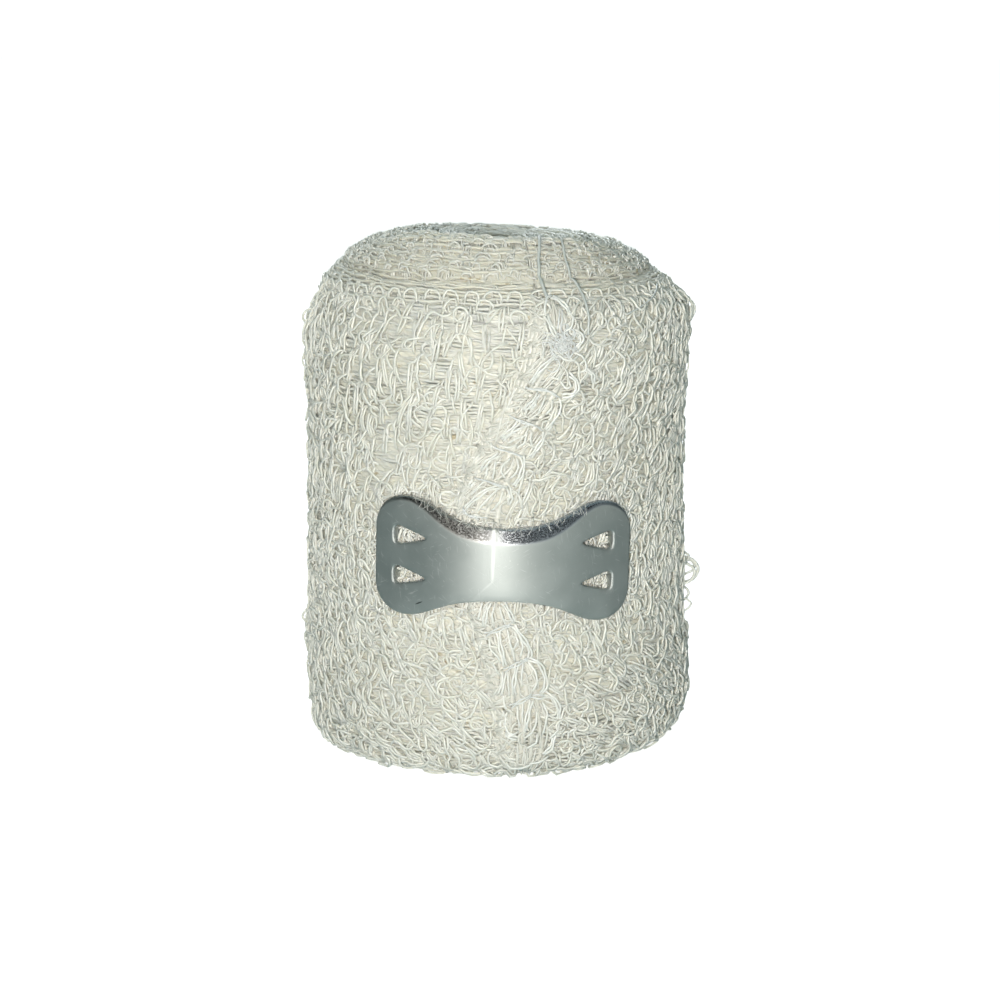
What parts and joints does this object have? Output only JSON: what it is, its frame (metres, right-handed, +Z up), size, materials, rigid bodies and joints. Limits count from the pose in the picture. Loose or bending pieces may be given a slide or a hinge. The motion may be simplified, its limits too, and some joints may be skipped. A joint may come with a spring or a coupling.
{
  "type": "crepe bandage roll",
  "caption": "Rolled crepe bandage standing on its flat end, domed above, its sewn free end held down by a curved metal clip with teeth.",
  "frame": {"origin": "on the surface the roll stands on, under the middle of its box", "axes": "+Z up along the roll's axis, the clip and the free end face -Y, +X to the right of someone facing the clip"},
  "size_m": [0.0579, 0.0594, 0.0755],
  "materials": {
    "cotton_crepe": "matte",
    "clip_metal": "satin"
  },
  "bodies": {
    "root": {"bandage_roll": "cotton_crepe", "clip": "clip_metal"}
  },
  "joints": []
}
